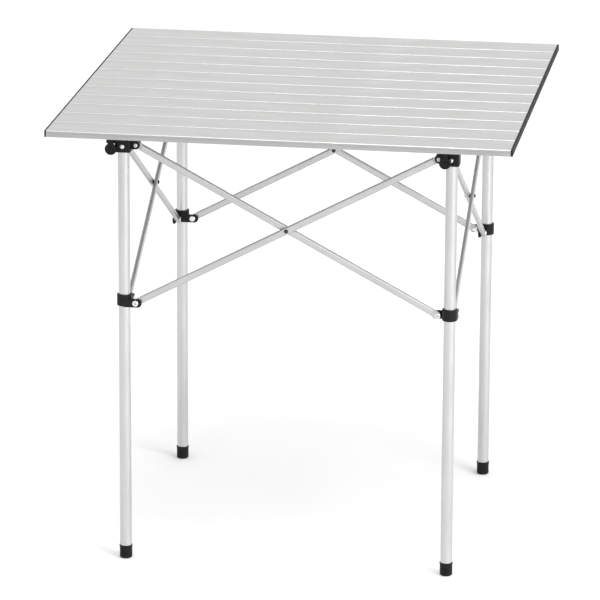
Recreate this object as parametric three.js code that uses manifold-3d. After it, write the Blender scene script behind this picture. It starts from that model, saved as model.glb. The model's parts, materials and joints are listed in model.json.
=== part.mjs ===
// Folding picnic table: a roll-up top of slats on four tube legs, joined by four scissor pairs.
// Units are millimetres, +Z is up, and the origin is on the ground under the middle of the top.
// The front is at -Y. Every side is one shape turned about the vertical axis, and so is every corner, but
// for its latch, which faces the front or the back.
import * as THREE from "three";
import { mergeVertices } from "three/addons/utils/BufferGeometryUtils.js";
import Module from "manifold-3d";

const wasm = await Module();
wasm.setup();

// Driving dimensions
const TABLE_HEIGHT = 700;
const TOP_LENGTH = 700; // along X, the length of every slat
const TOP_DEPTH = 700; // along Y, across the slats
const LEG_SPAN = 498; // between leg axes, the same in X and Y

// Slats
const SLAT_COUNT = 12;
const SLAT_GAP = 0.5;
const SLAT_THICKNESS = 10;
const SLAT_WALL = 0.65;
const SLAT_EDGE_RADIUS = 0.9;
const TOP_RIM_RADIUS = 2.5; // the outer top edge of the first and the last slat
const SLAT_WEBS = 2; // upright walls inside a slat

// Legs and feet
const LEG_DIAMETER = 18;
const LEG_WALL = 1;
const FOOT_WALL = 0.9; // round the tube
const FOOT_HEIGHT = 21;
const FOOT_SOLE = 4; // thickness under the tube
const FOOT_EDGE_RADIUS = 3.5;

// Scissor bars, with their pivots
const BAR_HEIGHT = 11;
const BAR_THICKNESS = 6.6;
const BAR_WALL = 1;
const BAR_EDGE_RADIUS = 2.2;
const BAR_PLAY = 0.4; // between the two bars of a pair
const BAR_END_CLEARANCE = 1.4; // between a bar's round end and a slider's sleeve
const PIVOT_DROP = 42; // from the table's surface to the upper pivots
const SCISSOR_RISE = 246; // from the lower pivots to the upper ones, with the frame open

// Rivets
const RIVET_DIAMETER = 5;
const SLIDER_RIVET_HEAD_DIAMETER = 9.6;
const TOP_RIVET_HEAD_DIAMETER = 6.8;
const RIVET_HEAD_HEIGHT = 1.7;
const CROSS_RIVET_HEAD_DIAMETER = 6.4;
const RIVET_CROWN = 0.6; // the flat middle of a head, as a share of its diameter

// Mouldings
const LUG_THICKNESS = 4;
const LUG_RADIUS = 6.6;
const SLIDER_LUG_TIP = 3; // how much further a slider's lugs reach past their pivots
const BRACKET_WALL = 2.9; // round the tube, at its thinnest
const BRACKET_CORNER_RADIUS = 4;
const BRACKET_SKIRT = 10.2; // how far the bracket reaches below the upper pivots
const BRACKET_ROOF = 9; // solid above the tube's end
const SLEEVE_WALL = 2.3;
const SLEEVE_HEIGHT = 18;
const SLEEVE_SKIRT = 5.6; // how far the sleeve reaches below the lower pivots

// Latches
const LATCH_OFFSETS = { front_left: -16.5, front_right: -8.5 }; // from the leg axis, along X
const LATCH_PIVOT_DROP = 6.4; // from the slats' underside to the latch's pivot
const LATCH_LENGTH = 38.3; // from the pivot to the lowest point of the handle
const LATCH_DISC_DIAMETER = 18;
const LATCH_NECK = 9;
const LATCH_THICKNESS = 3.4;
const LATCH_BARREL_RADIUS = 4.6;
const LATCH_CAM_RISE = 0.8; // how far the cam stands out of the barrel
const LATCH_CAM_CLEARANCE = 0.2; // between the bracket's face and the cam of an open latch
const CHEEK_THICKNESS = 3;
const CHEEK_RADIUS = 5;
const TRUNNION_DIAMETER = 3.2;
const ARM_THICKNESS = 5;
const ARM_HEIGHT = 28;

// Clearances
const GAP = 0.3; // between pieces that touch or run in each other

const SIDES = ["front", "right", "back", "left"];
const CORNERS = ["front_left", "front_right", "back_right", "back_left"];
const ROUND = 20; // facets of a leg, a sleeve and a foot
const SMALL_ROUND = 10; // facets of a rivet and of a hole for one
const END_ARC = 3; // half the facets of an arc at an end
const CORNER_ARC = 1; // half the facets of an arc at an edge
const SOLE_STEPS = 4; // facets of the round edge under a foot
const OVERSHOOT = 1; // how far a cutter passes the faces that it cuts, and a joined piece its neighbour's

// Derived sizes
const underside = TABLE_HEIGHT - SLAT_THICKNESS;
const slatPitch = (TOP_DEPTH + SLAT_GAP) / SLAT_COUNT;
const upperPivot = TABLE_HEIGHT - PIVOT_DROP;
const lowerPivot = upperPivot - SCISSOR_RISE;
const legRadius = LEG_DIAMETER / 2;
const boreRadius = legRadius + GAP;
const sleeveRadius = boreRadius + SLEEVE_WALL;
const footRadius = boreRadius + FOOT_WALL;
const bracketHalf = boreRadius + BRACKET_WALL;
const camReach = LATCH_BARREL_RADIUS + LATCH_CAM_RISE;
const latchReach = bracketHalf + camReach + LATCH_CAM_CLEARANCE; // from the leg axis to the latch's pivot
const pivotOffset = sleeveRadius + BAR_END_CLEARANCE + BAR_HEIGHT / 2; // from a leg axis to a bar's pivot
const pivotRun = LEG_SPAN - 2 * pivotOffset;
const barAngle = Math.atan2(SCISSOR_RISE, pivotRun);
const barLength = Math.hypot(SCISSOR_RISE, pivotRun); // between its end pivots
const bracketTop = underside - GAP;
const legTop = bracketTop - BRACKET_ROOF;
const rivetHole = RIVET_DIAMETER / 2 + GAP;
const barSpacing = BAR_THICKNESS + BAR_PLAY; // between the middles of the two bars of a pair
const barFace = barSpacing / 2 + BAR_THICKNESS / 2; // outer face of a bar, from the leg plane
const barInnerFace = barSpacing / 2 - BAR_THICKNESS / 2;
const latchPivot = underside - LATCH_PIVOT_DROP;

const aluminium = { color: 0xc9c8c6, roughness: 0.38, metalness: 0.9 };
const steel = { color: 0xd4d4d2, roughness: 0.25, metalness: 1 };
const blackSteel = { color: 0x1c1d1f, roughness: 0.4, metalness: 0.3 };
const blackPlastic = { color: 0x26282b, roughness: 0.55, metalness: 0 };

// Turning a three.js geometry into a solid for joining and cutting, and back

function solidOf(geometry) {
  const bare = geometry.clone();
  for (const name of ["normal", "uv"]) bare.deleteAttribute(name);
  const merged = mergeVertices(bare, 1e-4);
  const vertProperties = new Float32Array(merged.attributes.position.array);
  const triVerts = new Uint32Array(merged.index.array);
  return new wasm.Manifold(new wasm.Mesh({ numProp: 3, vertProperties, triVerts }));
}

function geometryOf(solid) {
  const mesh = solid.getMesh();
  const geometry = new THREE.BufferGeometry();
  geometry.setAttribute("position", new THREE.BufferAttribute(mesh.vertProperties, 3));
  geometry.setIndex(new THREE.BufferAttribute(mesh.triVerts, 1));
  const faceted = geometry.toNonIndexed();
  faceted.computeVertexNormals();
  return faceted;
}

const join = (first, ...others) => others.reduce((whole, s) => whole.add(s), first);
const cut = (first, ...others) => others.reduce((whole, s) => whole.subtract(s), first);

// Basic shapes, as geometries

// An outline drawn in two of the axes and extruded along the third, from low to high.
const PLANES = {
  xy: new THREE.Matrix4(),
  xz: new THREE.Matrix4().set(1, 0, 0, 0, 0, 0, -1, 0, 0, 1, 0, 0, 0, 0, 0, 1),
  yz: new THREE.Matrix4().set(0, 0, 1, 0, 1, 0, 0, 0, 0, 1, 0, 0, 0, 0, 0, 1),
};

// Points that a line and an arc share are kept once.
function distinct(points) {
  return points.filter((p, i) => p.distanceTo(points[(i + 1) % points.length]) > 1e-6);
}

function prism(shape, plane, low, high, arc = END_ARC) {
  const depth = high - low;
  const outline = new THREE.Shape(distinct(shape.getPoints(arc)));
  const made = new THREE.ExtrudeGeometry(outline, { depth, bevelEnabled: false });
  // Drawn in XZ, the extrusion runs towards -Y, so it starts from the high side.
  made.translate(0, 0, plane === "xz" ? -high : low);
  return made.applyMatrix4(PLANES[plane]);
}

// A rectangle with its own radius at each corner, counted from the lower left, anticlockwise.
function roundedRectangle(left, bottom, right, top, radii) {
  const [ll, lr, ur, ul] = typeof radii === "number" ? [radii, radii, radii, radii] : radii;
  const shape = new THREE.Shape();
  shape.moveTo(left + ll, bottom).lineTo(right - lr, bottom);
  if (lr > 0) shape.absarc(right - lr, bottom + lr, lr, -Math.PI / 2, 0);
  shape.lineTo(right, top - ur);
  if (ur > 0) shape.absarc(right - ur, top - ur, ur, 0, Math.PI / 2);
  shape.lineTo(left + ul, top);
  if (ul > 0) shape.absarc(left + ul, top - ul, ul, Math.PI / 2, Math.PI);
  shape.lineTo(left, bottom + ll);
  if (ll > 0) shape.absarc(left + ll, bottom + ll, ll, Math.PI, 1.5 * Math.PI);
  return shape;
}

function box(x0, x1, y0, y1, z0, z1) {
  return new THREE.BoxGeometry(x1 - x0, y1 - y0, z1 - z0)
    .translate((x0 + x1) / 2, (y0 + y1) / 2, (z0 + z1) / 2);
}

// A round rod along Z, or along another axis after a turn.
function rodZ(radius, low, high, facets = ROUND) {
  return new THREE.CylinderGeometry(radius, radius, high - low, facets)
    .rotateX(Math.PI / 2)
    .translate(0, 0, (low + high) / 2);
}

const rodY = (radius, low, high, facets = ROUND) => rodZ(radius, low, high, facets).rotateX(-Math.PI / 2);
const rodX = (radius, low, high, facets = ROUND) => rodZ(radius, low, high, facets).rotateY(Math.PI / 2);

function revolved(profile, facets = ROUND) {
  const points = profile.map(([r, z]) => new THREE.Vector2(r, z));
  return new THREE.LatheGeometry(points, facets).rotateX(Math.PI / 2);
}

// Top

// A hollow slat, drawn in YZ round its own middle line, with its underside at 0.
function slatGeometry(isFirst, isLast) {
  const half = (slatPitch - SLAT_GAP) / 2;
  const frontRadius = isFirst ? TOP_RIM_RADIUS : SLAT_EDGE_RADIUS;
  const backRadius = isLast ? TOP_RIM_RADIUS : SLAT_EDGE_RADIUS;
  const radii = [SLAT_EDGE_RADIUS, SLAT_EDGE_RADIUS, backRadius, frontRadius];
  const outline = roundedRectangle(-half, 0, half, SLAT_THICKNESS, radii);
  const inner = half - SLAT_WALL;
  const cell = (2 * inner - SLAT_WEBS * SLAT_WALL) / (SLAT_WEBS + 1);
  const hollows = [];
  for (let i = 0; i <= SLAT_WEBS; i++) {
    const left = -inner + i * (cell + SLAT_WALL);
    const frontCorner = i === 0 ? frontRadius : 0;
    const backCorner = i === SLAT_WEBS ? backRadius : 0;
    const hollow = roundedRectangle(left, SLAT_WALL, left + cell, SLAT_THICKNESS - SLAT_WALL,
      [0, 0, Math.max(backCorner - SLAT_WALL, 0), Math.max(frontCorner - SLAT_WALL, 0)]);
    hollows.push(solidOf(prism(hollow, "yz", -TOP_LENGTH, TOP_LENGTH, CORNER_ARC)));
  }
  const whole = solidOf(prism(outline, "yz", -TOP_LENGTH / 2, TOP_LENGTH / 2, CORNER_ARC));
  return geometryOf(cut(whole, ...hollows));
}

// Legs

function legGeometry() {
  const low = FOOT_SOLE + GAP;
  const inner = legRadius - LEG_WALL;
  return revolved([[inner, low], [legRadius, low], [legRadius, legTop], [inner, legTop], [inner, low]]);
}

function footGeometry() {
  const sole = footRadius - FOOT_EDGE_RADIUS;
  const profile = [[0, 0], [sole, 0]];
  for (let i = 1; i <= SOLE_STEPS; i++) {
    const angle = (i / SOLE_STEPS) * (Math.PI / 2);
    profile.push([
      sole + FOOT_EDGE_RADIUS * Math.sin(angle),
      FOOT_EDGE_RADIUS * (1 - Math.cos(angle)),
    ]);
  }
  profile.push([footRadius, FOOT_HEIGHT], [boreRadius, FOOT_HEIGHT]);
  profile.push([boreRadius, FOOT_SOLE], [0, FOOT_SOLE]);
  return revolved(profile);
}

// A lug in the plane of a side: from the leg's axis out to a round end past the pivot, with its rivet hole.
// It runs along +X between two Y values. The tip moves the round end out, away from the pivot.
function lugSolid(nearY, farY, pivotZ, tip = 0) {
  const end = pivotOffset + tip;
  const shape = new THREE.Shape();
  shape.moveTo(0, pivotZ - LUG_RADIUS).lineTo(end, pivotZ - LUG_RADIUS);
  shape.absarc(end, pivotZ, LUG_RADIUS, -Math.PI / 2, Math.PI / 2);
  shape.lineTo(0, pivotZ + LUG_RADIUS);
  const hole = rodY(rivetHole, nearY - OVERSHOOT, farY + OVERSHOOT, SMALL_ROUND)
    .translate(pivotOffset, 0, pivotZ);
  return cut(solidOf(prism(shape, "xz", nearY, farY)), solidOf(hole));
}

// A fork of two lugs round the bar whose middle is at barY.
function forkSolid(barY, pivotZ) {
  const faceY = BAR_THICKNESS / 2 + GAP;
  return join(
    lugSolid(barY - faceY - LUG_THICKNESS, barY - faceY, pivotZ),
    lugSolid(barY + faceY, barY + faceY + LUG_THICKNESS, pivotZ),
  );
}

// Lugs made for the side along +X, turned to the side along +Y.
const mirroredToY = (solid) => solid.transform([0, 1, 0, 0, 1, 0, 0, 0, 0, 0, 1, 0, 0, 0, 0, 1]);

// The cheeks that hold a latch, on an arm across the front of the bracket.
function latchMountSolid(offset) {
  const inner = LATCH_NECK / 2 + GAP;
  const outer = inner + CHEEK_THICKNESS;
  const face = -bracketHalf;
  const root = face + OVERSHOOT;
  const shape = new THREE.Shape();
  shape.moveTo(root, latchPivot - CHEEK_RADIUS).lineTo(root, latchPivot + CHEEK_RADIUS);
  shape.lineTo(-latchReach, latchPivot + CHEEK_RADIUS);
  shape.absarc(-latchReach, latchPivot, CHEEK_RADIUS, Math.PI / 2, 1.5 * Math.PI);
  const cheeks = [[-outer, -inner], [inner, outer]].map(([low, high]) =>
    solidOf(prism(shape, "yz", offset + low, offset + high)));
  const arm = solidOf(box(
    Math.min(offset - outer, 0), Math.max(offset + outer, 0),
    face, face + ARM_THICKNESS, bracketTop - ARM_HEIGHT, bracketTop));
  const pin = solidOf(rodX(TRUNNION_DIAMETER / 2 + GAP, -outer - OVERSHOOT, outer + OVERSHOOT, SMALL_ROUND)
    .translate(offset, -latchReach, latchPivot));
  return cut(join(arm, ...cheeks), pin);
}

// The bracket on top of a leg. Its forks hold the inner bar of one side and the outer bar of the next.
function bracketGeometry(quarterTurns, latchOffset) {
  const low = upperPivot - BRACKET_SKIRT;
  const body = roundedRectangle(-bracketHalf, -bracketHalf, bracketHalf, bracketHalf, BRACKET_CORNER_RADIUS);
  const block = solidOf(prism(body, "xy", low, bracketTop, CORNER_ARC));
  const innerFork = forkSolid(barSpacing / 2, upperPivot);
  const outerFork = mirroredToY(forkSolid(-barSpacing / 2, upperPivot));
  const forks = join(innerFork, outerFork).rotate([0, 0, 90 * quarterTurns]);
  const bore = solidOf(rodZ(boreRadius, low - OVERSHOOT, legTop + GAP));
  return geometryOf(cut(join(block, forks, latchMountSolid(latchOffset)), bore));
}

// The sleeve that runs on a leg. One lug is outside the outer bar, the other inside the inner bar.
function sliderGeometry() {
  const low = lowerPivot - SLEEVE_SKIRT;
  const high = low + SLEEVE_HEIGHT;
  const sleeve = solidOf(rodZ(sleeveRadius, low, high));
  const near = barFace + GAP;
  const lugs = join(
    lugSolid(-near - LUG_THICKNESS, -near, lowerPivot, SLIDER_LUG_TIP),
    mirroredToY(lugSolid(near, near + LUG_THICKNESS, lowerPivot, SLIDER_LUG_TIP)),
  );
  const bore = solidOf(rodZ(boreRadius, low - OVERSHOOT, high + OVERSHOOT));
  return geometryOf(cut(join(sleeve, lugs), bore));
}

// Scissor bars: a flat oval tube along X, centred on its middle pivot, with round ends.

function barGeometry() {
  const reach = barLength / 2 + BAR_HEIGHT / 2;
  const section = (inset, radius) => roundedRectangle(
    -BAR_THICKNESS / 2 + inset, -BAR_HEIGHT / 2 + inset,
    BAR_THICKNESS / 2 - inset, BAR_HEIGHT / 2 - inset, radius);
  const tube = cut(
    solidOf(prism(section(0, BAR_EDGE_RADIUS), "yz", -reach, reach, CORNER_ARC)),
    solidOf(prism(section(BAR_WALL, 0), "yz", -reach - OVERSHOOT, reach + OVERSHOOT)),
  );
  const face = roundedRectangle(-reach, -BAR_HEIGHT / 2, reach, BAR_HEIGHT / 2, BAR_HEIGHT / 2);
  const ends = solidOf(prism(face, "xz", -BAR_THICKNESS, BAR_THICKNESS));
  const holes = [-barLength / 2, 0, barLength / 2].map((x) =>
    solidOf(rodY(rivetHole, -BAR_THICKNESS, BAR_THICKNESS, SMALL_ROUND).translate(x, 0, 0)));
  return geometryOf(cut(tube.intersect(ends), ...holes));
}

// Rivets: a shank along Y between two domed heads. Front and back are the faces that it holds together.

function rivetGeometry(front, back, headDiameter) {
  const shank = RIVET_DIAMETER / 2;
  const head = headDiameter / 2;
  const low = front - GAP;
  const high = back + GAP;
  const crown = head * RIVET_CROWN;
  return revolved([
    [0, low - RIVET_HEAD_HEIGHT], [crown, low - RIVET_HEAD_HEIGHT], [head, low],
    [shank, low], [shank, high],
    [head, high], [crown, high + RIVET_HEAD_HEIGHT], [0, high + RIVET_HEAD_HEIGHT],
  ], SMALL_ROUND).rotateX(-Math.PI / 2);
}

// Latches: a disc on a narrow neck that hangs in front of a leg, with a cam above its pivot and a trunnion
// on each side. Its origin is the pivot.

function latchGeometry() {
  const half = LATCH_THICKNESS / 2;
  const neck = LATCH_NECK / 2;
  const discRadius = LATCH_DISC_DIAMETER / 2;
  const discZ = discRadius - LATCH_LENGTH;
  const disc = solidOf(rodY(discRadius, -half, half).translate(0, 0, discZ));
  const stem = solidOf(box(-neck, neck, -half, half, discZ, 0));
  const barrel = solidOf(rodX(LATCH_BARREL_RADIUS, -neck, neck, SMALL_ROUND));
  const cam = solidOf(rodX(LATCH_BARREL_RADIUS - LATCH_CAM_RISE, -neck, neck, SMALL_ROUND)
    .translate(0, 0, 2 * LATCH_CAM_RISE));
  const reach = neck + GAP + CHEEK_THICKNESS;
  const trunnions = solidOf(rodX(TRUNNION_DIAMETER / 2, -reach, reach, SMALL_ROUND));
  return geometryOf(join(disc, stem, barrel, cam, trunnions));
}

// Assembly

const table = new THREE.Group();
const materials = { aluminium, steel, blackSteel, blackPlastic };

function add(parent, name, geometry, material, position = [0, 0, 0], rotation = [0, 0, 0]) {
  const mesh = new THREE.Mesh(geometry, new THREE.MeshStandardMaterial(materials[material]));
  mesh.name = name;
  mesh.position.set(...position);
  mesh.rotation.set(...rotation);
  parent.add(mesh);
}

function turned(quarterTurns, position = [0, 0, 0]) {
  const group = new THREE.Group();
  group.rotation.z = (quarterTurns * Math.PI) / 2;
  group.position.set(...position);
  table.add(group);
  return group;
}

function addTop() {
  for (let i = 0; i < SLAT_COUNT; i++) {
    const name = `slat_${String(i + 1).padStart(2, "0")}`;
    const y = (i - (SLAT_COUNT - 1) / 2) * slatPitch;
    add(table, name, slatGeometry(i === 0, i === SLAT_COUNT - 1), "aluminium", [0, y, underside]);
  }
}

// A leg with what is fixed to it and what slides on it, round its own axis. The two rivets of a bracket or a
// slider hold the bar of the side that starts at this corner, and the bar of the side that ends there.
function addCorner(index) {
  const name = CORNERS[index];
  const before = CORNERS[(index + 3) % 4];
  const place = new THREE.Vector3(-LEG_SPAN / 2, -LEG_SPAN / 2, 0)
    .applyAxisAngle(new THREE.Vector3(0, 0, 1), (index * Math.PI) / 2).toArray();
  const corner = turned(index, place);
  add(corner, `leg_${name}`, legGeometry(), "aluminium");
  add(corner, `foot_${name}`, footGeometry(), "blackPlastic");
  add(corner, `slider_${name}`, sliderGeometry(), "blackPlastic");

  const forkFace = BAR_THICKNESS / 2 + GAP + LUG_THICKNESS;
  const innerBar = barSpacing / 2;
  const lugFace = barFace + GAP + LUG_THICKNESS;
  const starts = SIDES[index];
  const ends = SIDES[(index + 3) % 4];
  const upper = [pivotOffset, 0, upperPivot];
  const lower = [pivotOffset, 0, lowerPivot];
  const onNext = (point) => [0, point[0], point[2]];
  const quarter = [0, 0, Math.PI / 2];
  const topRivet = rivetGeometry(innerBar - forkFace, innerBar + forkFace, TOP_RIVET_HEAD_DIAMETER);
  const sliderRivet = rivetGeometry(-lugFace, -barInnerFace, SLIDER_RIVET_HEAD_DIAMETER);
  const startEnd = endOf(starts, name);
  const endEnd = endOf(ends, name);
  add(corner, `top_rivet_${starts}_${startEnd}`, topRivet, "steel", upper);
  add(corner, `slider_rivet_${starts}_${startEnd}`, sliderRivet, "steel", lower);
  add(corner, `top_rivet_${ends}_${endEnd}`, topRivet, "steel", onNext(upper), quarter);
  add(corner, `slider_rivet_${ends}_${endEnd}`, sliderRivet, "steel", onNext(lower), quarter);

  // The latches face the front at the front corners and the back at the back corners.
  const halfTurns = index < 2 ? 0 : 2;
  const latchOffset = LATCH_OFFSETS[CORNERS[index % 2]];
  const plain = turned(halfTurns, place);
  add(plain, `top_bracket_${name}`, bracketGeometry(index % 2, latchOffset), "blackPlastic");
  add(plain, `latch_${name}`, latchGeometry(), "blackPlastic", [latchOffset, -latchReach, latchPivot]);
}

// The end of a side at which a corner lies: the other word in the corner's name.
function endOf(side, corner) {
  return corner.split("_").find((word) => word !== side);
}

// The outer bar climbs from left to right, seen from outside, and the inner bar falls.
function addSide(index) {
  const side = turned(index);
  const middle = (upperPivot + lowerPivot) / 2;
  const outer = -LEG_SPAN / 2 - barSpacing / 2;
  const inner = -LEG_SPAN / 2 + barSpacing / 2;
  add(side, `bar_${SIDES[index]}_outer`, barGeometry(), "aluminium", [0, outer, middle], [0, -barAngle, 0]);
  add(side, `bar_${SIDES[index]}_inner`, barGeometry(), "aluminium", [0, inner, middle], [0, barAngle, 0]);
  add(side, `cross_rivet_${SIDES[index]}`,
    rivetGeometry(-barFace, barFace, CROSS_RIVET_HEAD_DIAMETER), "blackSteel", [0, -LEG_SPAN / 2, middle]);
}

addTop();
for (let index = 0; index < 4; index++) {
  addCorner(index);
  addSide(index);
}

export default table;
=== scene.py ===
import json
import math

import bmesh
import bpy
from mathutils import Matrix, Vector


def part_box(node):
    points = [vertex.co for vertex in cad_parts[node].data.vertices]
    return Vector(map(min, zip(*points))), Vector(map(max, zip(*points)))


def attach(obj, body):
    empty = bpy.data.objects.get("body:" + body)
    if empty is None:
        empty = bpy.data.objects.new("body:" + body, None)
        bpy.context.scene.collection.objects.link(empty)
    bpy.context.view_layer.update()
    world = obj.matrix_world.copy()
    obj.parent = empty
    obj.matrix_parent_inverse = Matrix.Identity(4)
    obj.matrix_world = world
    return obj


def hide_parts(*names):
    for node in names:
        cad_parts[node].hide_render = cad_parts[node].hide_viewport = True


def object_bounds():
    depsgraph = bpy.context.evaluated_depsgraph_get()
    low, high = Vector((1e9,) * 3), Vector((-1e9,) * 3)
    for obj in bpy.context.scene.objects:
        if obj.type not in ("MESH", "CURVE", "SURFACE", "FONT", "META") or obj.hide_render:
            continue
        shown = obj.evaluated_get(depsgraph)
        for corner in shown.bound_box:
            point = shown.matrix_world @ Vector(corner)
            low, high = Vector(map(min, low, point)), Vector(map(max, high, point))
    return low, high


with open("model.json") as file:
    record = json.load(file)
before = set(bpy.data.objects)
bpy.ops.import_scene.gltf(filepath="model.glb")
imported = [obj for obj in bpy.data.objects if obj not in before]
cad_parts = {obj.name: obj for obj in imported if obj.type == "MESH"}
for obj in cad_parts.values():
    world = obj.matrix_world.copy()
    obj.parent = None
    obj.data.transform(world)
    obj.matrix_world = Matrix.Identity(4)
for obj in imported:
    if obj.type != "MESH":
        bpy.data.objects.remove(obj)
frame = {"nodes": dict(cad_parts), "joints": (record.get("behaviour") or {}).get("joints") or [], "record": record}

MILLIMETRE = 0.001  # in metres

# Camera
CAMERA_PLACE = (1.00535, -6.74613, 2.34162)
CAMERA_AZIMUTH = -8.6162  # degrees, from +Y towards +X
CAMERA_ELEVATION = 16.245  # degrees, looking down
CAMERA_ROLL = 0.2952  # degrees
CAMERA_LENS = 271.65  # mm
CAMERA_REACH = 100  # metres

# Studio, in metres
WORLD_HORIZON = 1.5  # the room's brightness level with the camera
WORLD_ZENITH = 0.35
WORLD_HEIGHTS = (0.25, 0.9)  # the heights of those two in a view's unit direction
WORLD_LEFT = 0.85  # factors on that brightness
WORLD_RIGHT = 1.1
WORLD_SIDES = (-0.8, 0.8)
SUN_STRENGTH = 1.1
SUN_SPREAD = 80  # degrees
SUN_TURN = (20, 15, 0)  # degrees
KEY_PLACE = (4.5, -3.5, 2.4)
KEY_SIZE = 3.0
KEY_POWER = 200
OVERHEAD_PLACE = (0.0, -1.1, 4.5)
OVERHEAD_SIZE = 1.6
OVERHEAD_POWER = 34
FLOOR_HALF = 30
FLOOR_SQUARES = 8
FLOOR_TONES = (0.9, 0.93)
FLOOR_ROUGHNESS = 0.9

# Finishes. A noise has its waves per metre, the factors that it puts on the colour, what it adds
# to the roughness, and the strength and height in metres of the bumps.
DRAWN_LINES = (1400.0, 6.0)  # across and along the drawing direction
DRAWN_BUMP = (0.25, 0.00006)
DRAWN_CLOUDS = (90.0, 14.0)
DRAWN_TINTS = (0.95, 1.03)
DRAWN_WEAR = (-0.05, 0.07)
DENTS = 700.0
DENT_BUMP = (0.2, 0.0001)
DENT_TINTS = (0.85, 1.05)
DENT_WEAR = (0.0, 0.12)
MOULDED_GRAIN = 2600.0
MOULDED_BUMP = (0.35, 0.00008)
MOULDED_FLOW = (60.0, 60.0, 110.0)
MOULDED_TINTS = (0.85, 1.25)
MOULDED_WEAR = (-0.06, 0.08)
FLOOR_CLOUDS = 2.0
PLASTIC_SPECULAR = 0.16
PAINTED_EDGE_SHADE = 0.8  # painted shade: the colour factor on a slat's upright faces, against its flat ones

# Slats and their caps
SLAT_WALL = 0.65
LIP_WIDTH = 2.6  # of the step along a slat's back edge
LIP_DEPTH = 0.7
LIP_EDGE = 0.15
RIM_GROOVE_DROP = 2.6  # from the table's surface to the groove under its rim
RIM_GROOVE_DEPTH = 0.45
RIM_GROOVE_HEIGHT = 1.5
SLAT_WEBS = 2
SLAT_EDGE_RADIUS = 0.8
SLAT_CHAMFER = 0.6  # of a slat's front top edge
RIM_CHAMFER = 0.9  # the same, along the rim
SLAT_FOOT_RADIUS = 0.9
RIM_RADIUS = 2.5  # the outer top edge of the first and the last slat
CAP_THICKNESS = 3
CAP_CORNER_RADIUS = 2.4
CAP_RIM = 0.7
CAP_TONGUE = 8
CAP_TONGUE_PLAY = 0.1

# Legs and feet
LEG_WALL = 1
LEG_CHAMFER = 0.3
FOOT_BEAD = 0.5
FOOT_EDGE_RADIUS = 3.5
FOOT_SOLE = 4
FOOT_RECESS = 0.6  # depth of the hollow in the middle of the sole
FOOT_RING = 1.6  # width of the flat ring round it
FOOT_BEAD_DROP = 2.2  # from the foot's mouth to its bead
FOOT_GROOVES = 3
FOOT_GROOVE_START = 0.8  # from the round edge to the first groove, in pitches
FOOT_GROOVE_PITCH = 3.2
FOOT_GROOVE_DEPTH = 0.35

# Bars
BAR_HEIGHT = 11
BAR_EDGE_RADIUS = 3
BAR_WALL = 1
BAR_PLUG_REACH = 9  # from an end pivot to the tube's end
BAR_PLUG_PLAY = 0.1
BAR_PLUG_DEPTH = 6
BAR_PLUG_STEP = 0.35  # how much smaller the plug is than the tube, on each face
BAR_PLUG_RIM = 1.4

# Rivets and screws
HEAD_HEIGHT = 1.7
DOME_STEPS = 9
DOME_TIP = 0.1  # the smallest radius of a dome's rings
RIVET_SHANK = 2.5
RIVET_HOLE = 2.8
RIVET_BORE_RADIUS = 1.6  # of the blind hole in a rivet's outer head
RIVET_BORE_DEPTH = 4.5
RIVET_BORE_EDGE = 0.25
SCREW_RADIUS = 3.7
SCREW_HEIGHT = 2.1
SCREW_HEIGHT_OVER_SKIRT = 9.6
SCREW_SLOT = 1.0
SCREW_SLOT_LENGTH = 4.4

# Mouldings
LUG_THICKNESS = 4
LUG_RADIUS = 6.6
LUG_RIM = 0.8
SLIDER_LUG_TIP = 3
BRACKET_HALF = 12.2
BRACKET_CORNER_RADIUS = 4
BRACKET_RIM = 0.9
BRACKET_ROOF = 8.7
BORE_RADIUS = 9.3
SLEEVE_RADIUS = 11.6
SLEEVE_SKIRT = 5.6
SLEEVE_HEIGHT = 18
SLEEVE_RIM = 0.9
FIT = 0.3
ARM_THICKNESS = 5
ARM_HEIGHT = 28
CHEEK_THICKNESS = 3
CHEEK_RADIUS = 5
SMALL_RIM = 0.5

# Latches
LATCH_NECK = 4.5  # half its width
LATCH_THICKNESS = 3.4
LATCH_DISC_RADIUS = 9
LATCH_DISC_DROP = 29.3
LATCH_BARREL = 4.6
LATCH_CAM = 3.8
LATCH_CAM_LIFT = 1.6
TRUNNION = 1.6
LATCH_RING_WIDTH = 1.3
LATCH_DISH = 1.1
LATCH_DISH_SLOPE = 2.4  # the width of the dish's sloping edge
LATCH_BOSS = 2.6  # radius of the boss in the middle of the dish

# Fineness
ARC = 6  # steps of a quarter arc
RIM_STEPS = 3
ROUND = 64  # facets of a large round
SMALL_ROUND = 32
SHARP_ANGLE = math.radians(38)
SAME_POINT = 1e-4

CORNERS = ["front_left", "front_right", "back_right", "back_left"]
SIDES = ["front", "right", "back", "left"]
JOINTS = {joint["name"]: joint for joint in frame["joints"]}
CAD_LOW, CAD_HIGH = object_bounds()


# Measures of the CAD

def box(node):
    """The lowest and highest corner of a CAD node, in millimetres."""
    return [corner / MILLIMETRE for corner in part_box(node)]


def centre(node):
    low, high = box(node)
    return (low + high) / 2


LEG_AXIS = centre("leg_front_left")
BAR_LOW, BAR_HIGH = box("bar_front_outer")
BAR_HALF = (BAR_HIGH.y - BAR_LOW.y) / 2
BAR_PLANE = LEG_AXIS.y - (BAR_LOW.y + BAR_HIGH.y) / 2  # from the leg's axis to the middle of a bar
PIVOT_OFFSET = centre("top_rivet_front_left").x - LEG_AXIS.x


# Outlines, as lists of points drawn anticlockwise

def arc(middle, radius, start, stop, steps=ARC):
    """Points of an arc, with its angles in degrees and both ends included."""
    angles = [math.radians(start + (stop - start) * i / steps) for i in range(steps + 1)]
    return [Vector((middle[0] + radius * math.cos(t), middle[1] + radius * math.sin(t))) for t in angles]


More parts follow.
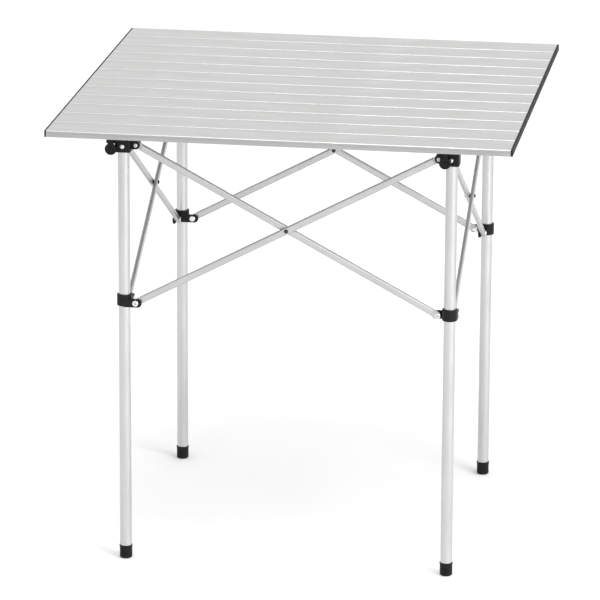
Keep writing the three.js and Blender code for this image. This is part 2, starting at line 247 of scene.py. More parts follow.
def rounded(left, bottom, right, top, radii):
    """A rectangle with round corners. Four radii are counted from the lower left corner."""
    ll, lr, ur, ul = radii if isinstance(radii, tuple) else (radii,) * 4
    points = arc((left + ll, bottom + ll), ll, 180, 270)
    points += arc((right - lr, bottom + lr), lr, 270, 360)
    points += arc((right - ur, top - ur), ur, 0, 90)
    points += arc((left + ul, top - ul), ul, 90, 180)
    return distinct(points)


def distinct(points):
    """The points, each kept once where two in a row are the same."""
    return [p for i, p in enumerate(points) if (p - points[i - 1]).length > SAME_POINT]


def tongue(root, end, middle, radius):
    """A strip from root to a round end."""
    points = [Vector((root, middle - radius))]
    points += arc((end, middle), radius, -90, 90, 4 * ARC)
    points.append(Vector((root, middle + radius)))
    return points


def inset(outline, distance):
    """The outline moved inwards, with its corners kept."""
    corners = []
    for i, here in enumerate(outline):
        before = (here - outline[i - 1]).normalized()
        after = (outline[(i + 1) % len(outline)] - here).normalized()
        inwards = Vector((-before.y - after.y, before.x + after.x)).normalized()
        corners.append(here + inwards * (distance / inwards.dot(Vector((-before.y, before.x)))))
    return corners


# Solids

PLANES = {
    "xy": lambda u, v, w: (u, v, w),
    "xz": lambda u, v, w: (u, w, v),
    "yz": lambda u, v, w: (w, u, v),
}


def as_object(name, shape):
    bmesh.ops.recalc_face_normals(shape, faces=shape.faces)
    mesh = bpy.data.meshes.new(name)
    shape.to_mesh(mesh)
    shape.free()
    made = bpy.data.objects.new(name, mesh)
    bpy.context.scene.collection.objects.link(made)
    return made


def skin(shape, rings):
    """Joins rings of the same number of points by bands of faces."""
    for lower, upper in zip(rings, rings[1:]):
        for i in range(len(lower)):
            shape.faces.new((lower[i - 1], lower[i], upper[i], upper[i - 1]))


def rim_curve(rim):
    """How far a rounded rim is drawn in, with the height of each step over the edge."""
    if rim == 0:
        return [(0.0, 0.0)]
    turns = [math.pi / 2 * i / RIM_STEPS for i in range(RIM_STEPS + 1)]
    return [(rim * (1 - math.sin(t)), rim * (1 - math.cos(t))) for t in turns]


def prism(outline, plane, low, high, rim=0.0):
    """An outline extruded from low to high, with both rims rounded."""
    shape = bmesh.new()
    curve = rim_curve(rim)
    levels = [(d, low + h) for d, h in curve] + [(d, high - h) for d, h in reversed(curve)]
    rings = []
    for depth, height in levels:
        edge = inset(outline, depth) if depth > 0 else outline
        rings.append([shape.verts.new(PLANES[plane](p.x, p.y, height)) for p in edge])
    skin(shape, rings)
    shape.faces.new(rings[0])
    shape.faces.new(rings[-1])
    return as_object("prism", shape)


def band(lower, upper, i):
    """The corners of one face between two rings, either of which may be a single point."""
    if len(lower) == 1:
        return lower[0], upper[i], upper[i - 1]
    if len(upper) == 1:
        return lower[i - 1], lower[i], upper[0]
    return lower[i - 1], lower[i], upper[i], upper[i - 1]


def lathe(profile, facets=ROUND, axis="Z"):
    """A profile of (radius, height) turned about an axis, on which it ends, unless it closes on itself."""
    shape = bmesh.new()
    rings = []
    for radius, height in profile:
        if radius == 0:
            rings.append([shape.verts.new((0, 0, height))])
            continue
        turns = [2 * math.pi * i / facets for i in range(facets)]
        rings.append([shape.verts.new((radius * math.cos(t), radius * math.sin(t), height)) for t in turns])
    if profile[0][0] > 0:
        rings.append(rings[0])
    for lower, upper in zip(rings, rings[1:]):
        for i in range(facets):
            shape.faces.new(band(lower, upper, i))
    made = as_object("lathe", shape)
    if axis == "X":
        made.data.transform(Matrix.Rotation(math.pi / 2, 4, "Y"))
    if axis == "Y":
        made.data.transform(Matrix.Rotation(-math.pi / 2, 4, "X"))
    return made


def rod(radius, low, high, axis="Z", rim=0.0, facets=SMALL_ROUND):
    corner = [(radius - d, h) for d, h in rim_curve(rim)]
    profile = [(0, low)] + [(r, low + h) for r, h in corner]
    profile += [(r, high - h) for r, h in reversed(corner)] + [(0, high)]
    return lathe(profile, facets, axis)


def moved(item, x=0.0, y=0.0, z=0.0):
    item.data.transform(Matrix.Translation((x, y, z)))
    return item


def turned(item, quarters, axis="Z"):
    item.data.transform(Matrix.Rotation(quarters * math.pi / 2, 4, axis))
    return item


def combine(base, others, operation):
    """Joins, cuts or intersects the base with each of the others, which are used up."""
    for other in others:
        change = base.modifiers.new("change", "BOOLEAN")
        change.operation = operation
        change.solver = "MANIFOLD"
        change.object = other
        bpy.context.view_layer.update()
        seen = base.evaluated_get(bpy.context.evaluated_depsgraph_get())
        made = bpy.data.meshes.new_from_object(seen)
        base.modifiers.clear()
        base.data = made
        bpy.data.objects.remove(other)
    return base


def join(base, *others):
    return combine(base, others, "UNION")


def cut(base, *others):
    return combine(base, others, "DIFFERENCE")


def swapped(item):
    """The item with X and Y changed over."""
    item.data.transform(Matrix(((0, 1, 0, 0), (1, 0, 0, 0), (0, 0, 1, 0), (0, 0, 0, 1))))
    item.data.flip_normals()
    return item


def mirrored(source):
    """A copy of the shape with its left and right changed over."""
    made = source.copy()
    made.data = source.data.copy()
    made.data.transform(Matrix.Scale(-1, 4, (1, 0, 0)))
    made.data.flip_normals()
    bpy.context.scene.collection.objects.link(made)
    return made


def piece(name, source, place, body, slot, *nodes):
    """A copy of a finished shape, put in place on a body, in the material of its slot."""
    mesh = source.data.copy()
    mesh.name = name
    mesh.transform(Matrix.Scale(MILLIMETRE, 4))
    mesh.shade_smooth()
    mesh.set_sharp_from_angle(angle=SHARP_ANGLE)
    mesh.materials.clear()
    mesh.materials.append(MATERIALS[slot])
    made = bpy.data.objects.new(name, mesh)
    bpy.context.scene.collection.objects.link(made)
    normals = made.modifiers.new("even_normals", "WEIGHTED_NORMAL")
    normals.keep_sharp = True
    made.matrix_world = place
    made.matrix_world.translation = place.translation * MILLIMETRE
    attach(made, body)
    if nodes:
        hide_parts(*nodes)
    return made


def discard(*sources):
    for source in sources:
        bpy.data.objects.remove(source)


# Materials

def shader(name):
    made = bpy.data.materials.new(name)
    made.use_nodes = True
    return made, made.node_tree.nodes, made.node_tree.links


def noise(nodes, links, stretch, detail=3.0):
    """A noise in the piece's own coordinates, with its waves per metre along each axis."""
    place = nodes.new("ShaderNodeTexCoord")
    scale = nodes.new("ShaderNodeMapping")
    scale.inputs["Scale"].default_value = stretch
    grain = nodes.new("ShaderNodeTexNoise")
    grain.inputs["Scale"].default_value = 1.0
    grain.inputs["Detail"].default_value = detail
    links.new(place.outputs["Object"], scale.inputs["Vector"])
    links.new(scale.outputs["Vector"], grain.inputs["Vector"])
    return grain.outputs["Fac"]


def ramp(nodes, links, value, low, high, start=0.35, stop=0.65):
    """A colour between low and high."""
    made = nodes.new("ShaderNodeValToRGB")
    made.color_ramp.elements[0].position = start
    made.color_ramp.elements[1].position = stop
    made.color_ramp.elements[0].color = (*low, 1)
    made.color_ramp.elements[1].color = (*high, 1)
    links.new(value, made.inputs["Fac"])
    return made.outputs["Color"]


def spread(nodes, links, value, low, high, start=0.3, stop=0.7):
    """A number between low and high."""
    made = nodes.new("ShaderNodeMapRange")
    made.inputs["From Min"].default_value = start
    made.inputs["From Max"].default_value = stop
    made.inputs["To Min"].default_value = low
    made.inputs["To Max"].default_value = high
    links.new(value, made.inputs["Value"])
    return made.outputs["Result"]


def bump(nodes, links, height, strength, distance):
    made = nodes.new("ShaderNodeBump")
    made.inputs["Strength"].default_value = strength
    made.inputs["Distance"].default_value = distance
    links.new(height, made.inputs["Height"])
    return made.outputs["Normal"]


def tinted(nodes, links, value, colour, factors):
    """The colour, darker or lighter with a value."""
    low, high = (tuple(channel * factor for channel in colour) for factor in factors)
    return ramp(nodes, links, value, low, high)


def worn(nodes, links, value, roughness, change):
    """The roughness, less or more with a value."""
    return spread(nodes, links, value, roughness + change[0], roughness + change[1])


def along(axis, across, lengthwise):
    """The waves per metre on X, Y and Z, with the lengthwise value on one axis."""
    return [lengthwise if i == axis else across for i in range(3)]


def drawn_metal(name, colour, roughness, axis, metallic=1.0):
    """Anodised metal with fine drawing lines along an axis, and faint clouds and rub marks."""
    made, nodes, links = shader(name)
    surface = nodes["Principled BSDF"]
    surface.inputs["Metallic"].default_value = metallic
    drawn = noise(nodes, links, along(axis, *DRAWN_LINES), 2.0)
    clouds = noise(nodes, links, along(axis, *DRAWN_CLOUDS), 4.0)
    links.new(tinted(nodes, links, clouds, colour, DRAWN_TINTS), surface.inputs["Base Color"])
    links.new(worn(nodes, links, clouds, roughness, DRAWN_WEAR), surface.inputs["Roughness"])
    links.new(bump(nodes, links, drawn, *DRAWN_BUMP), surface.inputs["Normal"])
    return made


def with_painted_edge_shade(material):
    """Painted shade: faces that stand upright in the piece's own frame get a darker colour than the flat ones."""
    nodes, links = material.node_tree.nodes, material.node_tree.links
    surface = nodes["Principled BSDF"]
    place = nodes.new("ShaderNodeTexCoord")
    parts = nodes.new("ShaderNodeSeparateXYZ")
    links.new(place.outputs["Normal"], parts.inputs["Vector"])
    slope = nodes.new("ShaderNodeMath")
    slope.operation = "ABSOLUTE"
    links.new(parts.outputs["Z"], slope.inputs[0])
    # painted shade: full colour on flat faces, scaled down on upright faces
    painted_shade_factor = spread(nodes, links, slope.outputs["Value"], PAINTED_EDGE_SHADE, 1.0, 0.0, 0.6)
    shade = nodes.new("ShaderNodeVectorMath")
    shade.operation = "SCALE"
    links.new(surface.inputs["Base Color"].links[0].from_socket, shade.inputs["Vector"])
    links.new(painted_shade_factor, shade.inputs["Scale"])
    links.new(shade.outputs["Vector"], surface.inputs["Base Color"])
    return material


def turned_metal(name, colour, roughness, metallic=1.0):
    """A pressed rivet or screw, a little uneven."""
    made, nodes, links = shader(name)
    surface = nodes["Principled BSDF"]
    surface.inputs["Metallic"].default_value = metallic
    dents = noise(nodes, links, (DENTS,) * 3, 3.0)
    links.new(tinted(nodes, links, dents, colour, DENT_TINTS), surface.inputs["Base Color"])
    links.new(worn(nodes, links, dents, roughness, DENT_WEAR), surface.inputs["Roughness"])
    links.new(bump(nodes, links, dents, *DENT_BUMP), surface.inputs["Normal"])
    return made


def moulded_plastic(name, colour, roughness):
    """Black plastic with a fine spark-eroded grain, and faint flow marks."""
    made, nodes, links = shader(name)
    surface = nodes["Principled BSDF"]
    surface.inputs["Specular IOR Level"].default_value = PLASTIC_SPECULAR
    grain = noise(nodes, links, (MOULDED_GRAIN,) * 3, 2.0)
    flow = noise(nodes, links, MOULDED_FLOW, 5.0)
    links.new(tinted(nodes, links, flow, colour, MOULDED_TINTS), surface.inputs["Base Color"])
    links.new(worn(nodes, links, flow, roughness, MOULDED_WEAR), surface.inputs["Roughness"])
    links.new(bump(nodes, links, grain, *MOULDED_BUMP), surface.inputs["Normal"])
    return made


# Each has a colour and a roughness, then the drawing axis, or how metallic a rivet is.
MATERIALS = {
    # the top's upright faces get painted shade in their colour
    "top_aluminium": with_painted_edge_shade(drawn_metal("top_aluminium", (0.49, 0.49, 0.485), 0.36, 0)),
    "leg_aluminium": drawn_metal("leg_aluminium", (0.54, 0.54, 0.54), 0.34, 2),
    "bar_aluminium": drawn_metal("bar_aluminium", (0.49, 0.49, 0.49), 0.36, 0),
    "rivet_steel": turned_metal("rivet_steel", (0.72, 0.72, 0.71), 0.2),
    "rivet_black": turned_metal("rivet_black", (0.02, 0.02, 0.022), 0.35, 0.5),
    "bracket_plastic": moulded_plastic("bracket_plastic", (0.0065, 0.0067, 0.008), 0.42),
    "foot_plastic": moulded_plastic("foot_plastic", (0.006, 0.0062, 0.0075), 0.46),
    "cap_plastic": moulded_plastic("cap_plastic", (0.0065, 0.0067, 0.008), 0.6),
}


# Top

def plain_section(half, height, is_first, is_last):
    """The outline of a slat's end, in YZ."""
    front = RIM_RADIUS if is_first else SLAT_EDGE_RADIUS
    back = RIM_RADIUS if is_last else SLAT_EDGE_RADIUS
    return rounded(-half, 0, half, height, (SLAT_FOOT_RADIUS, SLAT_FOOT_RADIUS, back, front))


def groove(side, top):
    """A shallow square groove in an upright face, from its lower edge up."""
    floor = side + (RIM_GROOVE_DEPTH if side < 0 else -RIM_GROOVE_DEPTH)
    low = top - RIM_GROOVE_HEIGHT
    return [Vector((side, low)), Vector((floor, low)), Vector((floor, top)), Vector((side, top))]


def slat_section(half, height, is_first, is_last):
    """The outline of a slat, in YZ. Its back edge has a low lip, and the top's rim has a groove under it."""
    foot = SLAT_FOOT_RADIUS
    points = arc((foot - half, foot), foot, 180, 270) + arc((half - foot, foot), foot, 270, 360)
    if is_last:
        points += groove(half, height - RIM_GROOVE_DROP)
        points += arc((half - RIM_RADIUS, height - RIM_RADIUS), RIM_RADIUS, 0, 90)
    else:
        lip = height - LIP_DEPTH
        points += arc((half - LIP_EDGE, lip - LIP_EDGE), LIP_EDGE, 0, 90, 3)
        points += [Vector((half - LIP_WIDTH, lip))]
        points += arc((half - LIP_WIDTH - LIP_EDGE, height - LIP_EDGE), LIP_EDGE, 0, 90, 3)
    chamfer = RIM_CHAMFER if is_first else SLAT_CHAMFER
    points += [Vector((chamfer - half, height)), Vector((-half, height - chamfer))]
    if is_first:
        points += reversed(groove(-half, height - RIM_GROOVE_DROP))
    return distinct(points)


def slat_cells(half, height, play, low, high, is_first, is_last):
    """The rods of space inside a slat, or with play the tongues that fill them."""
    inner = half - SLAT_WALL
    width = (2 * inner - SLAT_WEBS * SLAT_WALL) / (SLAT_WEBS + 1)
    roof = height - LIP_DEPTH - SLAT_WALL
    cells = []
    for i in range(SLAT_WEBS + 1):
        left = -inner + i * (width + SLAT_WALL)
        front = RIM_RADIUS - SLAT_WALL if is_first and i == 0 else SLAT_WALL
        back = RIM_RADIUS - SLAT_WALL if is_last and i == SLAT_WEBS else SLAT_WALL
        outline = rounded(left, SLAT_WALL, left + width, roof, (SLAT_WALL, SLAT_WALL, back, front))
        cells.append(prism(inset(outline, play) if play else outline, "yz", low, high))
    return cells


def slat_cap(half, height, is_first, is_last):
    """A moulded cap on the +X end of a slat. X = 0 is the slat's end."""
    plate = prism(plain_section(half, height, is_first, is_last), "yz", 0, CAP_THICKNESS, CAP_RIM)
    plan = rounded(-CAP_TONGUE, -half, CAP_THICKNESS, half, (0, CAP_CORNER_RADIUS, CAP_CORNER_RADIUS, 0))
    cover = combine(plate, [prism(plan, "xy", -height, 2 * height)], "INTERSECT")
    tongues = slat_cells(half, height, CAP_TONGUE_PLAY, -CAP_TONGUE, CAP_THICKNESS / 2, is_first, is_last)
    return join(cover, *tongues)


def add_top():
    names = sorted(name for name in frame["nodes"] if name.startswith("slat_"))
    low, high = box(names[1])
    half, height = (high.y - low.y) / 2, high.z - low.z
    reach = (high.x - low.x) / 2 - CAP_THICKNESS
    shapes = {}
    for ends in [(True, False), (False, False), (False, True)]:
        body = prism(slat_section(half, height, *ends), "yz", -reach, reach)
        cells = slat_cells(half, height, 0, -2 * reach, 2 * reach, *ends)
        cap = slat_cap(half, height, *ends)
        shapes[ends] = (cut(body, *cells), cap, mirrored(cap))
    for name in names:
        ends = (name == names[0], name == names[-1])
        body, right_cap, left_cap = shapes[ends]
        low, high = box(name)
        place = Matrix.Translation(((low.x + high.x) / 2, (low.y + high.y) / 2, low.z))
        piece(f"{name}_profile", body, place, name, "top_aluminium", name)
        right = place @ Matrix.Translation((reach, 0, 0))
        left = place @ Matrix.Translation((-reach, 0, 0))
        piece(f"{name}_cap_right", right_cap, right, name, "cap_plastic")
        piece(f"{name}_cap_left", left_cap, left, name, "cap_plastic")
    for made in shapes.values():
        discard(*made)


# Legs

def leg_shape(radius, low, high):
    inner = radius - LEG_WALL
    outer_low, outer_high = low + LEG_CHAMFER, high - LEG_CHAMFER
    return lathe([
        (inner, low), (radius - LEG_CHAMFER, low), (radius, outer_low),
        (radius, outer_high), (radius - LEG_CHAMFER, high), (inner, high)])


def foot_shape(radius, height, inner):
    """A cap with a bead round its mouth, three grip grooves and a round edge under it."""
    body = radius - FOOT_BEAD
    sole = radius - FOOT_EDGE_RADIUS
    flat = sole - FOOT_RING
    profile = [(0, FOOT_RECESS), (flat - FOOT_RECESS, FOOT_RECESS), (flat, 0), (sole, 0)]
    edge = arc((sole, body - sole), body - sole, -90, 0, 2 * ARC)
    profile += [(p.x, p.y) for p in edge[1:]]
    depth = FOOT_GROOVE_DEPTH
    for i in range(FOOT_GROOVES):
        z = FOOT_EDGE_RADIUS + (i + FOOT_GROOVE_START) * FOOT_GROOVE_PITCH
        profile += [(body, z - 2 * depth), (body - depth, z - depth)]
        profile += [(body - depth, z + depth), (body, z + 2 * depth)]
    bead = height - FOOT_BEAD_DROP
    profile.append((body, bead - FOOT_BEAD))
    profile += [(p.x, p.y) for p in arc((body, bead + FOOT_BEAD / 2), FOOT_BEAD, -60, 0, 3)]
    profile += [(radius, height - FOOT_BEAD), (radius - FOOT_BEAD, height), (inner, height)]
    profile += [(inner, FOOT_SOLE), (0, FOOT_SOLE)]
    return lathe(profile)


# Mouldings

def lug(near, far, pivot_z, end):
    """A lug along +X between two Y values, round its rivet hole."""
    plate = prism(tongue(0, end, pivot_z, LUG_RADIUS), "xz", near, far, LUG_RIM)
    hole = moved(rod(RIVET_HOLE, near - LUG_RADIUS, far + LUG_RADIUS, "Y"), x=PIVOT_OFFSET, z=pivot_z)
    return cut(plate, hole)


def fork(bar_y, pivot_z):
    """Two lugs, one on each side of a bar."""
    face = BAR_HALF + FIT
    return [
        lug(bar_y - face - LUG_THICKNESS, bar_y - face, pivot_z, PIVOT_OFFSET),
        lug(bar_y + face, bar_y + face + LUG_THICKNESS, pivot_z, PIVOT_OFFSET),
    ]


def latch_mount(offset, reach, pivot_z, top):
    """Two cheeks on an arm across the front of a bracket, round the latch's trunnions."""
    inner = LATCH_NECK + FIT
    outer = inner + CHEEK_THICKNESS
    face = -BRACKET_HALF
    root = face + ARM_THICKNESS / 2
    outline = [Vector((root, pivot_z + CHEEK_RADIUS))]
    outline += arc((-reach, pivot_z), CHEEK_RADIUS, 90, 270, 4 * ARC)
    outline.append(Vector((root, pivot_z - CHEEK_RADIUS)))
    arm = rounded(min(offset - outer, 0), face, max(offset + outer, 0), face + ARM_THICKNESS, SMALL_RIM)
    parts = [prism(arm, "xy", top - ARM_HEIGHT, top, SMALL_RIM)]
    parts += [prism(outline, "yz", offset + low, offset + high, SMALL_RIM)
              for low, high in ((-outer, -inner), (inner, outer))]
    return parts


def bracket_shape(quarters, low, top, pivot_z, latch):
    """The block on top of a leg, with two forks for bars and the latch's mount."""
    plan = rounded(-BRACKET_HALF, -BRACKET_HALF, BRACKET_HALF, BRACKET_HALF, BRACKET_CORNER_RADIUS)
    block = prism(plan, "xy", low, top, BRACKET_RIM)
    inner = fork(BAR_PLANE, pivot_z)
    outer = [swapped(item) for item in fork(-BAR_PLANE, pivot_z)]
    forks = [turned(item, quarters) for item in inner + outer]
    mount = latch_mount(latch.x, -latch.y, latch.z, top)
    bore = rod(BORE_RADIUS, low - BRACKET_RIM, top - BRACKET_ROOF, facets=ROUND)
    pin = moved(rod(TRUNNION + FIT / 2, -BRACKET_HALF, BRACKET_HALF, "X"), *latch)
    return cut(join(block, *forks, *mount), bore, pin)


def slider_shape(pivot_z):
    """The sleeve round a leg, with a lug for each of two bars."""
    low = pivot_z - SLEEVE_SKIRT
    high = low + SLEEVE_HEIGHT
    outer_low = [(SLEEVE_RADIUS - d, low + h) for d, h in rim_curve(SLEEVE_RIM)]
    outer_high = [(r, low + high - z) for r, z in reversed(outer_low)]
    mouth = SMALL_RIM / 2
    sleeve = lathe(outer_low + outer_high + [
        (BORE_RADIUS + mouth, high), (BORE_RADIUS, high - mouth),
        (BORE_RADIUS, low + mouth), (BORE_RADIUS + mouth, low)])
    near = BAR_PLANE + BAR_HALF + FIT
    far = near + LUG_THICKNESS
    end = PIVOT_OFFSET + SLIDER_LUG_TIP
    lugs = [lug(-far, -near, pivot_z, end), swapped(lug(near, far, pivot_z, end))]
    bore = rod(BORE_RADIUS, low - SLEEVE_RIM, high + SLEEVE_RIM, facets=ROUND)
    return cut(join(sleeve, *lugs), bore)


def latch_shape():
    """A dished disc on a neck, with a cam barrel and two trunnions. The origin is the pivot."""
    half = LATCH_THICKNESS / 2
    ring = LATCH_DISC_RADIUS - LATCH_RING_WIDTH
    rim = [(LATCH_DISC_RADIUS - SMALL_RIM, -half), (LATCH_DISC_RADIUS, SMALL_RIM - half),
           (LATCH_DISC_RADIUS, half - SMALL_RIM), (LATCH_DISC_RADIUS - SMALL_RIM, half)]
    floor = ring - LATCH_DISH_SLOPE
    dish = [(0, -half), (LATCH_BOSS - SMALL_RIM, -half), (LATCH_BOSS, LATCH_DISH - half),
            (floor, LATCH_DISH - half), (ring, -half)]
    profile = dish + rim + [(r, -y) for r, y in reversed(dish)]
    disc = moved(lathe(profile, ROUND, "Y"), z=-LATCH_DISC_DROP)
    neck_low = LATCH_DISC_RADIUS - LATCH_DISC_DROP - LATCH_RING_WIDTH
    neck = prism(rounded(-LATCH_NECK, neck_low, LATCH_NECK, 0, SMALL_RIM / 2), "xz", -half, half, SMALL_RIM)
    barrel = rod(LATCH_BARREL, -LATCH_NECK, LATCH_NECK, "X", SMALL_RIM)
    cam = moved(rod(LATCH_CAM, -LATCH_NECK, LATCH_NECK, "X", SMALL_RIM), z=LATCH_CAM_LIFT)
    reach = LATCH_NECK + FIT + CHEEK_THICKNESS
    pins = rod(TRUNNION, -reach, reach, "X", SMALL_RIM / 2)
    return join(disc, neck, barrel, cam, pins)


def screw_shape():
    """A pan-head screw whose head stands on Y = 0 and looks along -Y, with a cross recess."""
    dome = [(p.x, p.y) for p in arc((SCREW_RADIUS - SCREW_HEIGHT, 0), SCREW_HEIGHT, 0, 90)]
    base = [(0, -SCREW_HEIGHT), (SCREW_RADIUS, -SCREW_HEIGHT)]
    head = lathe(base + dome + [(0, SCREW_HEIGHT)], SMALL_ROUND)
    turned(head, 1, "X")
    half, reach = SCREW_SLOT / 2, SCREW_SLOT_LENGTH / 2
    slots = [prism(rounded(-a, -b, a, b, half / 2), "xz", -2 * SCREW_HEIGHT, -SCREW_HEIGHT / 3)
             for a, b in ((half, reach), (reach, half))]
    return cut(head, *slots)


# Bars and rivets

def bar_section():
    return rounded(-BAR_HALF, -BAR_HEIGHT / 2, BAR_HALF, BAR_HEIGHT / 2, BAR_EDGE_RADIUS)


def bar_hole():
    return rod(RIVET_HOLE, -2 * BAR_HALF, 2 * BAR_HALF, "Y")


def bar_tube_shape(length):
    reach = length / 2 - BAR_PLUG_REACH
    tube = prism(bar_section(), "yz", -reach, reach, SMALL_RIM / 2)
    hollow = prism(inset(bar_section(), BAR_WALL), "yz", -length, length)
    return cut(tube, hollow, bar_hole())


def bar_plug_shape():
    """The end fitting of a bar, round its pivot at the origin, with its tube along -X."""
    half = BAR_HALF - BAR_PLUG_STEP
    radius = BAR_HEIGHT / 2 - BAR_PLUG_STEP
    root = -BAR_PLUG_REACH - BAR_PLUG_PLAY
    plate = prism(tongue(root, 0, 0, radius), "xz", -half, half, BAR_PLUG_RIM)
    core = inset(bar_section(), BAR_WALL + CAP_TONGUE_PLAY)
    shank = prism(core, "yz", -BAR_PLUG_REACH - BAR_PLUG_DEPTH, -BAR_PLUG_REACH + BAR_PLUG_RIM)
    return cut(join(plate, shank), bar_hole())


def rivet_shape(length, head, is_hollow):
    """A rivet along Y with two domed heads. A hollow one has a blind hole in its outer head."""
    low, high = -length / 2, length / 2
    profile = [(0, low)]
    tip = DOME_TIP
    if is_hollow:
        bore, edge = RIVET_BORE_RADIUS, RIVET_BORE_EDGE
        profile = [(0, low + RIVET_BORE_DEPTH), (bore, low + RIVET_BORE_DEPTH)]
        profile += [(bore, low + 2 * edge), (bore + edge, low + edge)]
        tip = bore + 2 * edge
    turns = [math.radians(90 * i / DOME_STEPS) for i in range(DOME_STEPS + 1)]
    crown = [(head * math.cos(t), HEAD_HEIGHT * (1 - math.sin(t))) for t in reversed(turns)]
    crown = [(r, h) for r, h in crown if r > tip]
    profile += [(r, low + h) for r, h in crown] + [(RIVET_SHANK, low + HEAD_HEIGHT)]
    profile += [(RIVET_SHANK, high - HEAD_HEIGHT)] + [(r, high - h) for r, h in reversed(crown)]
    profile.append((0, high))
    return lathe(profile, SMALL_ROUND, "Y")


def facing(side_index):
    """Turns the front side's frame to a side."""
    return Matrix.Rotation(side_index * math.pi / 2, 4, "Z")


def far_word(side, corner):
    """The end of a side at which a corner lies: the other word in the corner's name."""
    return next(word for word in corner.split("_") if word != side)


def add_rivets():
    shapes = {}
    for node in sorted(name for name in frame["nodes"] if "rivet" in name):
        side = node.split("_")[2]
        index = SIDES.index(side)
        low, high = box(node)
        across = high.y - low.y if index % 2 == 0 else high.x - low.x
        head = (high.z - low.z) / 2
        is_cross = node.startswith("cross")
        key = (round(across, 2), is_cross)
        if key not in shapes:
            shapes[key] = rivet_shape(across, head, not is_cross)
        place = Matrix.Translation(centre(node)) @ facing(index)
        slot = "rivet_black" if is_cross else "rivet_steel"
        piece(f"{node}_turned", shapes[key], place, body_of(node), slot, node)
    discard(*shapes.values())


def body_of(node):
    bodies = frame["record"]["behaviour"]["bodies"]
    return next(body for body, members in bodies.items() if node in members)


def add_sides():
    """Two bars on each side: the outer one climbs from left to right, seen from outside."""
    tube = None
    plug = bar_plug_shape()
    for index, side in enumerate(SIDES):
        left, right = (far_word(side, CORNERS[(index + i) % 4]) for i in (0, 1))
        for kind, start, stop in (
            ("outer", f"slider_rivet_{side}_{left}", f"top_rivet_{side}_{right}"),
            ("inner", f"top_rivet_{side}_{left}", f"slider_rivet_{side}_{right}"),
        ):
            node = f"bar_{side}_{kind}"
            back = facing(index).inverted()
            first, last, middle = (back @ centre(name) for name in (start, stop, node))
            rise, run = last.z - first.z, last.x - first.x
            length = math.hypot(rise, run)
            if tube is None:
                tube = bar_tube_shape(length)
            climb = Matrix.Rotation(-math.atan2(rise, run), 4, "Y")
            place = facing(index) @ Matrix.Translation(middle) @ climb
            right_end = place @ Matrix.Translation((length / 2, 0, 0))
            left_end = place @ facing(2) @ Matrix.Translation((length / 2, 0, 0))
            body = f"{side}_{kind}_bar"
            piece(f"{node}_tube", tube, place, body, "bar_aluminium", node)
            piece(f"{node}_plug_{right}", plug, right_end, body, "bar_aluminium")
            piece(f"{node}_plug_{left}", plug, left_end, body, "bar_aluminium")
    discard(tube, plug)


# Corners

def add_corners():
    low, high = box("leg_front_left")
    foot_low, foot_high = box("foot_front_left")
    leg = leg_shape((high.x - low.x) / 2, low.z, high.z)
    foot = foot_shape((foot_high.x - foot_low.x) / 2, foot_high.z, BORE_RADIUS)
    slider = slider_shape(centre("slider_rivet_front_left").z)
    latch = latch_shape()
    screw = screw_shape()
    pivot_z = centre("top_rivet_front_left").z
    bracket_low, bracket_high = box("top_bracket_front_left")
    brackets = {}
    for index, corner in enumerate(CORNERS):
        axis = centre(f"leg_{corner}")
        axis.z = 0
        half_turn = Matrix.Rotation(math.pi * (index > 1), 4, "Z")
        latch_pivot = Vector(JOINTS[f"{corner}_latch_hinge"]["pos_m"]) / MILLIMETRE
        local = half_turn.inverted() @ (latch_pivot - axis)
        if index % 2 not in brackets:
            brackets[index % 2] = bracket_shape(index % 2, bracket_low.z, bracket_high.z, pivot_z, local)
        place = Matrix.Translation(axis)
        on_leg = f"{corner}_leg"
        piece(f"leg_{corner}_tube", leg, place, on_leg, "leg_aluminium", f"leg_{corner}")
        piece(f"foot_{corner}_cap", foot, place, on_leg, "foot_plastic", f"foot_{corner}")
        piece(f"top_bracket_{corner}_moulding", brackets[index % 2], place @ half_turn, on_leg,
              "bracket_plastic", f"top_bracket_{corner}")
        screw_place = Matrix.Translation((0, -BRACKET_HALF, bracket_low.z + SCREW_HEIGHT_OVER_SKIRT))
        piece(f"bracket_screw_{corner}", screw, place @ half_turn @ screw_place, on_leg, "rivet_steel")
        piece(f"slider_{corner}_moulding", slider, place @ facing(index), f"{corner}_slider",
              "bracket_plastic", f"slider_{corner}")
        piece(f"latch_{corner}_moulding", latch, Matrix.Translation(latch_pivot) @ half_turn,
              f"{corner}_latch", "bracket_plastic", f"latch_{corner}")
    discard(leg, foot, slider, latch, screw, *brackets.values())


# Studio

def add_camera():
    a, e, r = (math.radians(v) for v in (CAMERA_AZIMUTH, CAMERA_ELEVATION, CAMERA_ROLL))
    forward = Vector((math.sin(a) * math.cos(e), math.cos(a) * math.cos(e), -math.sin(e)))
    level = Vector((math.cos(a), -math.sin(a), 0))
    upright = level.cross(forward)
    right = level * math.cos(r) + upright * math.sin(r)
    up = upright * math.cos(r) - level * math.sin(r)
    made = bpy.data.objects.new("camera", bpy.data.cameras.new("camera"))
    made.data.lens = CAMERA_LENS
    made.data.clip_end = CAMERA_REACH
    turn = Matrix((right, up, -forward)).transposed().to_4x4()
    made.matrix_world = Matrix.Translation(CAMERA_PLACE) @ turn
    bpy.context.scene.collection.objects.link(made)
    bpy.context.scene.camera = made


def add_softbox(name, place, size, power):
    """A square area light that looks at the middle of the table."""
    made = bpy.data.objects.new(name, bpy.data.lights.new(name, "AREA"))
    made.data.shape = "SQUARE"
    made.data.size = size
    made.data.energy = power
    made.location = place
    aim = Vector((0, 0, CAD_HIGH.z / 2)) - Vector(place)
    made.rotation_euler = aim.to_track_quat("-Z", "Y").to_euler()
    bpy.context.scene.collection.objects.link(made)


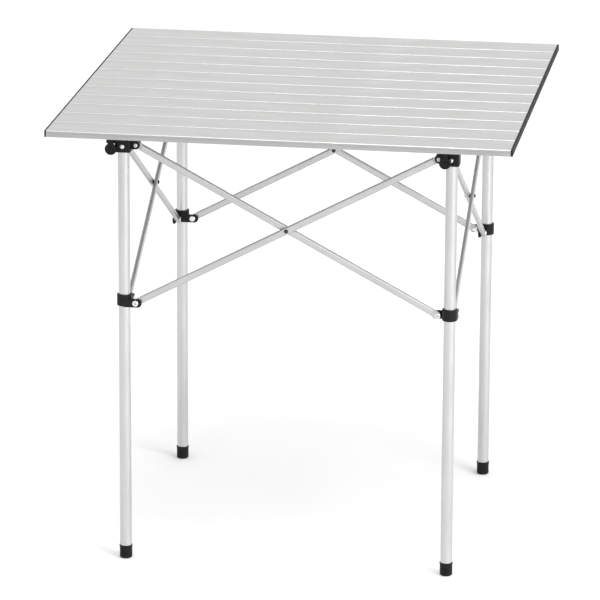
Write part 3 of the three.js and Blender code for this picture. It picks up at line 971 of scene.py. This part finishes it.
def add_world():
    """A white room that darkens upwards, and a little towards the left."""
    world = bpy.data.worlds.new("studio")
    world.use_nodes = True
    nodes, links = world.node_tree.nodes, world.node_tree.links
    light = nodes["Background"]
    light.inputs["Color"].default_value = (1, 1, 1, 1)
    place = nodes.new("ShaderNodeTexCoord")
    parts = nodes.new("ShaderNodeSeparateXYZ")
    links.new(place.outputs["Generated"], parts.inputs["Vector"])
    height = spread(nodes, links, parts.outputs["Z"], WORLD_HORIZON, WORLD_ZENITH, *WORLD_HEIGHTS)
    side = spread(nodes, links, parts.outputs["X"], WORLD_LEFT, WORLD_RIGHT, *WORLD_SIDES)
    product = nodes.new("ShaderNodeMath")
    product.operation = "MULTIPLY"
    links.new(height, product.inputs[0])
    links.new(side, product.inputs[1])
    links.new(product.outputs["Value"], light.inputs["Strength"])
    bpy.context.scene.world = world


def add_sun():
    """A broad soft light from above."""
    made = bpy.data.objects.new("sky_panel", bpy.data.lights.new("sky_panel", "SUN"))
    made.data.energy = SUN_STRENGTH
    made.data.angle = math.radians(SUN_SPREAD)
    made.rotation_euler = [math.radians(turn) for turn in SUN_TURN]
    bpy.context.scene.collection.objects.link(made)


def add_floor():
    shape = bmesh.new()
    bmesh.ops.create_grid(shape, x_segments=FLOOR_SQUARES, y_segments=FLOOR_SQUARES, size=FLOOR_HALF)
    floor = as_object("floor", shape)
    paint, nodes, links = shader("floor")
    surface = nodes["Principled BSDF"]
    surface.inputs["Roughness"].default_value = FLOOR_ROUGHNESS
    tone = noise(nodes, links, (FLOOR_CLOUDS,) * 3)
    dark, light = ((level,) * 3 for level in FLOOR_TONES)
    links.new(ramp(nodes, links, tone, dark, light), surface.inputs["Base Color"])
    floor.data.materials.append(paint)


add_camera()
add_world()
add_sun()
add_softbox("key", KEY_PLACE, KEY_SIZE, KEY_POWER)
add_softbox("overhead", OVERHEAD_PLACE, OVERHEAD_SIZE, OVERHEAD_POWER)
add_floor()
bpy.context.scene.view_settings.view_transform = "Standard"

add_top()
add_corners()
add_sides()
add_rivets()
